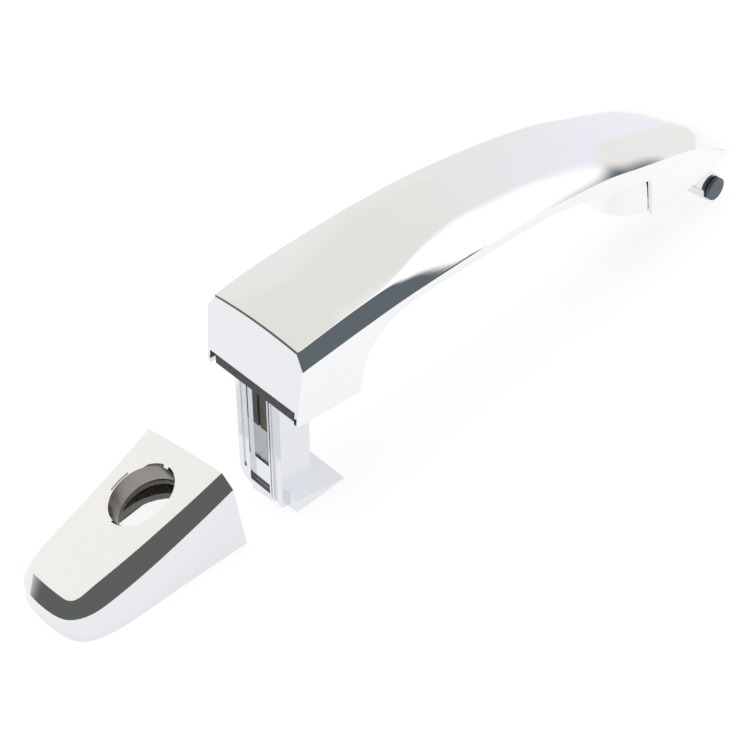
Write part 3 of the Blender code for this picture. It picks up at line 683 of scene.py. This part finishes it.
def outside_rings():
    """From the foot over the fold to the edge of the top panel."""
    foot, fold, panel = (cover_outline(table) for table in (COVER_FOOT, COVER_FOLD, COVER_PANEL))
    halfway = [a.lerp(b, 0.5) for a, b in zip(foot, fold)]
    return [
        closed_ring(foot, lambda x, y: 0.0, lambda x, y: 0.0, FOLD_EDGE),
        closed_ring(halfway, lambda x, y: cover_base(x, y) / 2, lambda x, y: cover_end(x, y) / 2, FOLD_EDGE),
        closed_ring(fold, cover_base, cover_end, FOLD_EDGE),
        closed_ring(panel, cover_top, cover_top, PANEL_EDGE),
    ]


HOLE_MIDDLE = Vector((HOLE_X, 0, cover_top(HOLE_X, 0)))
HOLE_AXIS = Vector((-math.sin(HOLE_TILT), 0, math.cos(HOLE_TILT)))


def hole_circle(edge, radius, depth):
    """A circle round the hole's axis, with its points in line with those of the panel's edge."""
    up_slope = Vector((math.cos(HOLE_TILT), 0, math.sin(HOLE_TILT)))
    ring = []
    for p in edge:
        a = math.atan2(p.y, p.x - HOLE_X)
        spoke = up_slope * radius * math.cos(a) + Vector((0, 1, 0)) * radius * math.sin(a)
        ring.append(HOLE_MIDDLE - HOLE_AXIS * depth + spoke)
    return ring


def collar_rings(edge):
    """Over the panel to the hole, down the inside of its collar and up the outside."""
    rim = hole_circle(edge, HOLE_RADIUS + HOLE_CHAMFER, 0.0)
    rings = []
    for share in (0.12, 0.3, 0.5, 0.7, 0.88, 1.0):
        ring = [a.lerp(b, share) for a, b in zip(edge, rim)]
        rings.append([Vector((p.x, p.y, cover_top(p.x, p.y))) for p in ring])
    outside = HOLE_RADIUS + COLLAR_WALL
    for radius, depth in ((HOLE_RADIUS, HOLE_CHAMFER), (HOLE_RADIUS, COLLAR_DEPTH / 2),
                          (HOLE_RADIUS, COLLAR_DEPTH), (outside, COLLAR_DEPTH), (outside, WALL + 0.2)):
        rings.append(hole_circle(edge, radius, depth))
    return rings


def inside_rings():
    """Under the panel and down the inside of the walls to the foot."""
    def under(x, y):
        return cover_top(x, y) - WALL

    panel, wall = cover_outline(COVER_PANEL, 0.6), cover_outline(COVER_FOLD, WALL)
    wall_edge, end_top = FOLD_EDGE - WALL, 14
    rings = [
        closed_ring(panel, under, under, PANEL_EDGE - 0.6, -WALL),
        closed_ring(wall, lambda x, y: cover_base(x, y) - 0.5,
                    lambda x, y: min(cover_end(x, y) - WALL, end_top), wall_edge, -WALL),
        closed_ring(wall, lambda x, y: 0.0, lambda x, y: 0.0, wall_edge, -WALL),
    ]
    return [[Vector((min(p.x, -WALL), p.y, p.z)) for p in ring] for ring in rings]


def place_in_cover(p):
    return Vector((leaned(p.x, p.z, COVER_LEAN), p.y, p.z))


def closed_skin(rings):
    """A skin from ring to ring and back to the first, with points that meet merged into one."""
    bm = bmesh.new()
    known = {}

    def vertex(p):
        key = tuple(round(c, 4) for c in p)
        if key not in known:
            known[key] = bm.verts.new(p)
        return known[key]

    loops = [[vertex(place_in_cover(p)) for p in ring] for ring in rings]
    for a, b in zip(loops, loops[1:] + loops[:1]):
        for i in range(len(a)):
            j = (i + 1) % len(a)
            face = list(dict.fromkeys((a[i], a[j], b[j], b[i])))
            if len(face) > 2 and not bm.faces.get(face):
                bm.faces.new(face)
    return bm


def lock_cover():
    outside = outside_rings()
    rings = outside + collar_rings(outside[-1]) + inside_rings()
    mesh = carve(closed_skin(rings), [("BEVEL", (0.28, 3))], COVER, 24)
    # The top keeps the brighter chrome, which is painted light; the faces marked below take the dark brown
    # and the darker chrome, which are painted shade.
    add_chrome("chrome_lock_cover", mesh, "cover", "lock_cover_shell", PAINTED_LIGHT_CHROME, PAINTED_SHADE_BORE, PAINTED_SHADE_CHROME)
    middle = COVER @ place_in_cover(HOLE_MIDDLE)
    for face in mesh.polygons:
        away = face.center - middle
        depth = -away.dot(HOLE_AXIS)
        radius = (away + HOLE_AXIS * depth).length
        # The inside of the hole's collar takes the dark brown chrome, which is painted shade.
        if depth > 0.8 * MM and radius < (HOLE_RADIUS + COLLAR_WALL + 0.2) * MM:
            face.material_index = 1
        # Faces that do not face up take the darker chrome, which is painted shade.
        elif face.normal.z < 0.85:
            face.material_index = 2


lock_cover()


# ---------------------------------------------------------------- carried-over CAD nodes

SLOTS = {entry["node"]: entry["material_slot"] for entry in frame["record"]["subparts"]}
OWN_LOOKS = {"pivot_bush": SLATE, "lock_seal": TAUPE, "cover_frame": TAUPE}
for name, node in frame["nodes"].items():
    look = OWN_LOOKS.get(name, LOOKS[SLOTS[name]])
    for place in node.material_slots:
        place.material = look


# ---------------------------------------------------------------- stage

def floor():
    """A white table top that stays white in the shade."""
    bm = bmesh.new()
    bmesh.ops.create_grid(bm, x_segments=1, y_segments=1, size=3.0)
    mesh = bpy.data.meshes.new("floor")
    bm.to_mesh(mesh)
    bm.free()
    obj = object_of("floor", mesh)
    obj.location.z = -0.0001
    material, tree, shader = nodes_of("white_table", (0.13, 0.13, 0.13), 0.9, 0.0)
    shader.inputs["Specular IOR Level"].default_value = 0.0
    shader.inputs["Emission Color"].default_value = (1, 1, 1, 1)
    shader.inputs["Emission Strength"].default_value = 0.89
    mesh.materials.append(material)


floor()


# Directions in the studio, and the tones of its walls.
DARK_SIDE, DARK_END = (-0.385, -0.872, 0.30), (-0.87, -0.44, 0.22)
WARM_WALL, COOL_WALL, CLOUD = (0.86, 0.86, 0.81), (0.93, 0.93, 0.99), (0.91, 0.90, 0.87)
BRIGHT_WALL = (1.15, 1.15, 1.14)
SLATE_SHADE, GREY_SHADE, LOW_SHADE = (0.095, 0.125, 0.145), (0.135, 0.14, 0.13), (0.125, 0.15, 0.165)


def studio():
    """A pale tent: warm, cooler towards +x, bright and then dark towards DARK_SIDE, dark at DARK_END."""
    world = bpy.data.worlds.new("studio")
    bpy.context.scene.world = world
    world.use_nodes = True
    tree = world.node_tree
    tree.nodes.clear()
    out = tree.nodes.new("ShaderNodeOutputWorld")
    back = tree.nodes.new("ShaderNodeBackground")
    where = tree.nodes.new("ShaderNodeTexCoord")

    def along(direction):
        dot = tree.nodes.new("ShaderNodeVectorMath")
        dot.operation = "DOT_PRODUCT"
        dot.inputs[1].default_value = direction
        tree.links.new(where.outputs["Generated"], dot.inputs[0])
        return dot.outputs["Value"]

    def step(value, near, far):
        node = tree.nodes.new("ShaderNodeMapRange")
        node.interpolation_type = "SMOOTHSTEP"
        node.inputs["From Min"].default_value, node.inputs["From Max"].default_value = near, far
        tree.links.new(value, node.inputs["Value"])
        return node.outputs["Result"]

    def join(operation, a, b):
        node = tree.nodes.new("ShaderNodeMath")
        node.operation = operation
        tree.links.new(a, node.inputs[0])
        tree.links.new(b, node.inputs[1])
        return node.outputs["Value"]

    def mix(factor, a, b):
        node = tree.nodes.new("ShaderNodeMix")
        node.data_type = "RGBA"
        for socket, value in ((node.inputs[6], a), (node.inputs[7], b)):
            if isinstance(value, tuple):
                socket.default_value = (*value, 1)
            else:
                tree.links.new(value, socket)
        tree.links.new(factor, node.inputs["Factor"])
        return node.outputs[2]

    cloud = tree.nodes.new("ShaderNodeTexNoise")
    cloud.inputs["Scale"].default_value = 1.6
    cloud.inputs["Detail"].default_value = 1.0
    tree.links.new(where.outputs["Generated"], cloud.inputs["Vector"])
    side, height = along(DARK_SIDE), along((0, 0, 1))
    end = step(along(DARK_END), 0.08, 0.20)
    dark = join("MAXIMUM", step(side, 0.50, 0.58), end)
    low = join("MULTIPLY", step(height, 0.38, 0.22), step(side, -0.10, 0.04))
    pale = mix(step(along((1, 0, 0)), 0.50, 0.90), WARM_WALL, COOL_WALL)
    pale = mix(step(cloud.outputs["Fac"], 0.45, 0.60), pale, CLOUD)
    pale = mix(step(side, -0.06, 0.14), pale, BRIGHT_WALL)
    deep = mix(join("MAXIMUM", step(height, 0.40, 0.60), end), SLATE_SHADE, GREY_SHADE)
    shade = mix(low, mix(dark, pale, deep), LOW_SHADE)
    tree.links.new(shade, back.inputs["Color"])
    tree.links.new(back.outputs["Background"], out.inputs["Surface"])


studio()


def top_light():
    data = bpy.data.lights.new("top_light", "AREA")
    data.shape = "DISK"
    data.size, data.energy = 1.8, 26
    obj = bpy.data.objects.new("top_light", data)
    bpy.context.scene.collection.objects.link(obj)
    place, target = Vector((0.1, 0.1, 1.6)), Vector((0.07, 0, 0))
    obj.location = place
    obj.rotation_mode = "QUATERNION"
    obj.rotation_quaternion = (target - place).to_track_quat("-Z", "Y")
    obj.visible_glossy = False


top_light()


def camera():
    data = bpy.data.cameras.new("camera")
    data.lens, data.sensor_width = 65.7, 36.0
    data.clip_start, data.clip_end = 0.01, 20
    obj = bpy.data.objects.new("camera", data)
    bpy.context.scene.collection.objects.link(obj)
    right = Vector((0.7238, -0.6710, -0.1611)).normalized()
    back = Vector((-0.4645, -0.6465, 0.6052)).normalized()
    up = back.cross(right).normalized()
    right = up.cross(back)
    turn = Matrix((right, up, back)).transposed()
    obj.matrix_world = Matrix.Translation((-0.1440, -0.2472, 0.2465)) @ turn.to_4x4()
    bpy.context.scene.camera = obj


camera()
bpy.context.scene.view_settings.view_transform = "Standard"
